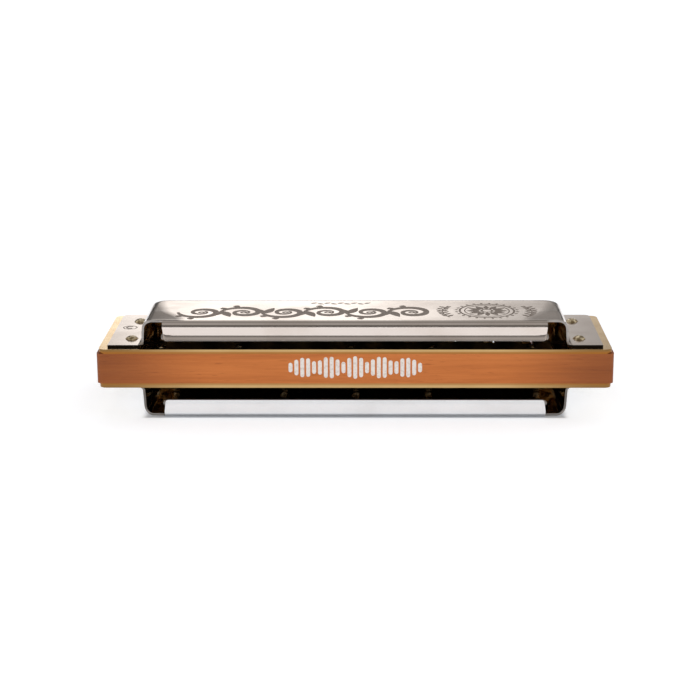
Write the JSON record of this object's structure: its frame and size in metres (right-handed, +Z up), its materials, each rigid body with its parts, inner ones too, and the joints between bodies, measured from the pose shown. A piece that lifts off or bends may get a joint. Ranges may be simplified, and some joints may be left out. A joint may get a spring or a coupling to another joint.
{
  "type": "diatonic harmonica",
  "caption": "Diatonic harmonica with a wooden comb, brass reed plates with flexing reeds, and pressed steel covers open at the back.",
  "frame": {"origin": "on the surface that it rests on, under the middle of the whole object", "axes": "+X along the length to the low-note end, +Y to the mouthpiece, +Z up; the sound openings face -Y"},
  "size_m": [0.1014, 0.0284, 0.0195],
  "materials": {
    "comb_wood": "satin lacquer over fine pear-wood grain",
    "plate_brass": "rolled sheet with a soft shine",
    "reed_brass": "milled and scraped, bright",
    "pin_brass": "domed heads, slightly tarnished",
    "cover_steel": "polished stainless sheet with a fine brushed direction"
  },
  "bodies": {
    "harmonica": {"comb": "comb_wood", "upper_reed_plate": "plate_brass", "lower_reed_plate": "plate_brass", "upper_cover": "cover_steel", "lower_cover": "cover_steel", "upper_cover_pins": "pin_brass", "lower_cover_pins": "pin_brass", "upper_plate_pins": "pin_brass", "lower_plate_pins": "pin_brass", "blow_reed_roots": "reed_brass", "draw_reed_roots": "reed_brass", "blow_reed_rivets": "pin_brass", "draw_reed_rivets": "pin_brass"},
    "blow_reed_1": {"blow_reed_1": "reed_brass"},
    "blow_reed_2": {"blow_reed_2": "reed_brass"},
    "blow_reed_3": {"blow_reed_3": "reed_brass"},
    "blow_reed_4": {"blow_reed_4": "reed_brass"},
    "blow_reed_5": {"blow_reed_5": "reed_brass"},
    "blow_reed_6": {"blow_reed_6": "reed_brass"},
    "blow_reed_7": {"blow_reed_7": "reed_brass"},
    "blow_reed_8": {"blow_reed_8": "reed_brass"},
    "blow_reed_9": {"blow_reed_9": "reed_brass"},
    "blow_reed_10": {"blow_reed_10": "reed_brass"},
    "draw_reed_1": {"draw_reed_1": "reed_brass"},
    "draw_reed_2": {"draw_reed_2": "reed_brass"},
    "draw_reed_3": {"draw_reed_3": "reed_brass"},
    "draw_reed_4": {"draw_reed_4": "reed_brass"},
    "draw_reed_5": {"draw_reed_5": "reed_brass"},
    "draw_reed_6": {"draw_reed_6": "reed_brass"},
    "draw_reed_7": {"draw_reed_7": "reed_brass"},
    "draw_reed_8": {"draw_reed_8": "reed_brass"},
    "draw_reed_9": {"draw_reed_9": "reed_brass"},
    "draw_reed_10": {"draw_reed_10": "reed_brass"}
  },
  "joints": [
    {"name": "blow_reed_1_flex", "type": "hinge", "parent": "harmonica", "child": "blow_reed_1", "pos_m": [0.0342, 0.00777, 0.01261], "axis": [-1, 0, 0], "range_deg": [-2.5, 2.5], "stiffness_Nm_per_rad": 0.0166},
    {"name": "blow_reed_2_flex", "type": "hinge", "parent": "harmonica", "child": "blow_reed_2", "pos_m": [0.0266, 0.00777, 0.01261], "axis": [-1, 0, 0], "range_deg": [-2.5, 2.5], "stiffness_Nm_per_rad": 0.0222},
    {"name": "blow_reed_3_flex", "type": "hinge", "parent": "harmonica", "child": "blow_reed_3", "pos_m": [0.019, 0.00777, 0.01261], "axis": [-1, 0, 0], "range_deg": [-2.5, 2.5], "stiffness_Nm_per_rad": 0.0262},
    {"name": "blow_reed_4_flex", "type": "hinge", "parent": "harmonica", "child": "blow_reed_4", "pos_m": [0.0114, 0.00777, 0.01261], "axis": [-1, 0, 0], "range_deg": [-2.5, 2.5], "stiffness_Nm_per_rad": 0.0387},
    {"name": "blow_reed_5_flex", "type": "hinge", "parent": "harmonica", "child": "blow_reed_5", "pos_m": [0.0038, 0.00777, 0.01261], "axis": [-1, 0, 0], "range_deg": [-2.5, 2.5], "stiffness_Nm_per_rad": 0.0503},
    {"name": "blow_reed_6_flex", "type": "hinge", "parent": "harmonica", "child": "blow_reed_6", "pos_m": [-0.0038, 0.00777, 0.01261], "axis": [-1, 0, 0], "range_deg": [-2.5, 2.5], "stiffness_Nm_per_rad": 0.0575},
    {"name": "blow_reed_7_flex", "type": "hinge", "parent": "harmonica", "child": "blow_reed_7", "pos_m": [-0.0114, 0.00777, 0.01261], "axis": [-1, 0, 0], "range_deg": [-2.5, 2.5], "stiffness_Nm_per_rad": 0.0819},
    {"name": "blow_reed_8_flex", "type": "hinge", "parent": "harmonica", "child": "blow_reed_8", "pos_m": [-0.019, 0.00777, 0.01261], "axis": [-1, 0, 0], "range_deg": [-2.5, 2.5], "stiffness_Nm_per_rad": 0.1024},
    {"name": "blow_reed_9_flex", "type": "hinge", "parent": "harmonica", "child": "blow_reed_9", "pos_m": [-0.0266, 0.00777, 0.01261], "axis": [-1, 0, 0], "range_deg": [-2.5, 2.5], "stiffness_Nm_per_rad": 0.112},
    {"name": "blow_reed_10_flex", "type": "hinge", "parent": "harmonica", "child": "blow_reed_10", "pos_m": [-0.0342, 0.00777, 0.01261], "axis": [-1, 0, 0], "range_deg": [-2.5, 2.5], "stiffness_Nm_per_rad": 0.1515},
    {"name": "draw_reed_1_flex", "type": "hinge", "parent": "harmonica", "child": "draw_reed_1", "pos_m": [0.0342, -0.00843, 0.00571], "axis": [1, 0, 0], "range_deg": [-2.5, 2.5], "stiffness_Nm_per_rad": 0.0209},
    {"name": "draw_reed_2_flex", "type": "hinge", "parent": "harmonica", "child": "draw_reed_2", "pos_m": [0.0266, -0.00765, 0.00571], "axis": [1, 0, 0], "range_deg": [-2.5, 2.5], "stiffness_Nm_per_rad": 0.0314},
    {"name": "draw_reed_3_flex", "type": "hinge", "parent": "harmonica", "child": "draw_reed_3", "pos_m": [0.019, -0.00687, 0.00571], "axis": [1, 0, 0], "range_deg": [-2.5, 2.5], "stiffness_Nm_per_rad": 0.0416},
    {"name": "draw_reed_4_flex", "type": "hinge", "parent": "harmonica", "child": "draw_reed_4", "pos_m": [0.0114, -0.00609, 0.00571], "axis": [1, 0, 0], "range_deg": [-2.5, 2.5], "stiffness_Nm_per_rad": 0.0487},
    {"name": "draw_reed_5_flex", "type": "hinge", "parent": "harmonica", "child": "draw_reed_5", "pos_m": [0.0038, -0.00531, 0.00571], "axis": [1, 0, 0], "range_deg": [-2.5, 2.5], "stiffness_Nm_per_rad": 0.0564},
    {"name": "draw_reed_6_flex", "type": "hinge", "parent": "harmonica", "child": "draw_reed_6", "pos_m": [-0.0038, -0.00454, 0.00571], "axis": [1, 0, 0], "range_deg": [-2.5, 2.5], "stiffness_Nm_per_rad": 0.0725},
    {"name": "draw_reed_7_flex", "type": "hinge", "parent": "harmonica", "child": "draw_reed_7", "pos_m": [-0.0114, -0.00376, 0.00571], "axis": [1, 0, 0], "range_deg": [-2.5, 2.5], "stiffness_Nm_per_rad": 0.073},
    {"name": "draw_reed_8_flex", "type": "hinge", "parent": "harmonica", "child": "draw_reed_8", "pos_m": [-0.019, -0.00298, 0.00571], "axis": [1, 0, 0], "range_deg": [-2.5, 2.5], "stiffness_Nm_per_rad": 0.0812},
    {"name": "draw_reed_9_flex", "type": "hinge", "parent": "harmonica", "child": "draw_reed_9", "pos_m": [-0.0266, -0.0022, 0.00571], "axis": [1, 0, 0], "range_deg": [-2.5, 2.5], "stiffness_Nm_per_rad": 0.0889},
    {"name": "draw_reed_10_flex", "type": "hinge", "parent": "harmonica", "child": "draw_reed_10", "pos_m": [-0.0342, -0.00143, 0.00571], "axis": [1, 0, 0], "range_deg": [-2.5, 2.5], "stiffness_Nm_per_rad": 0.1071}
  ]
}
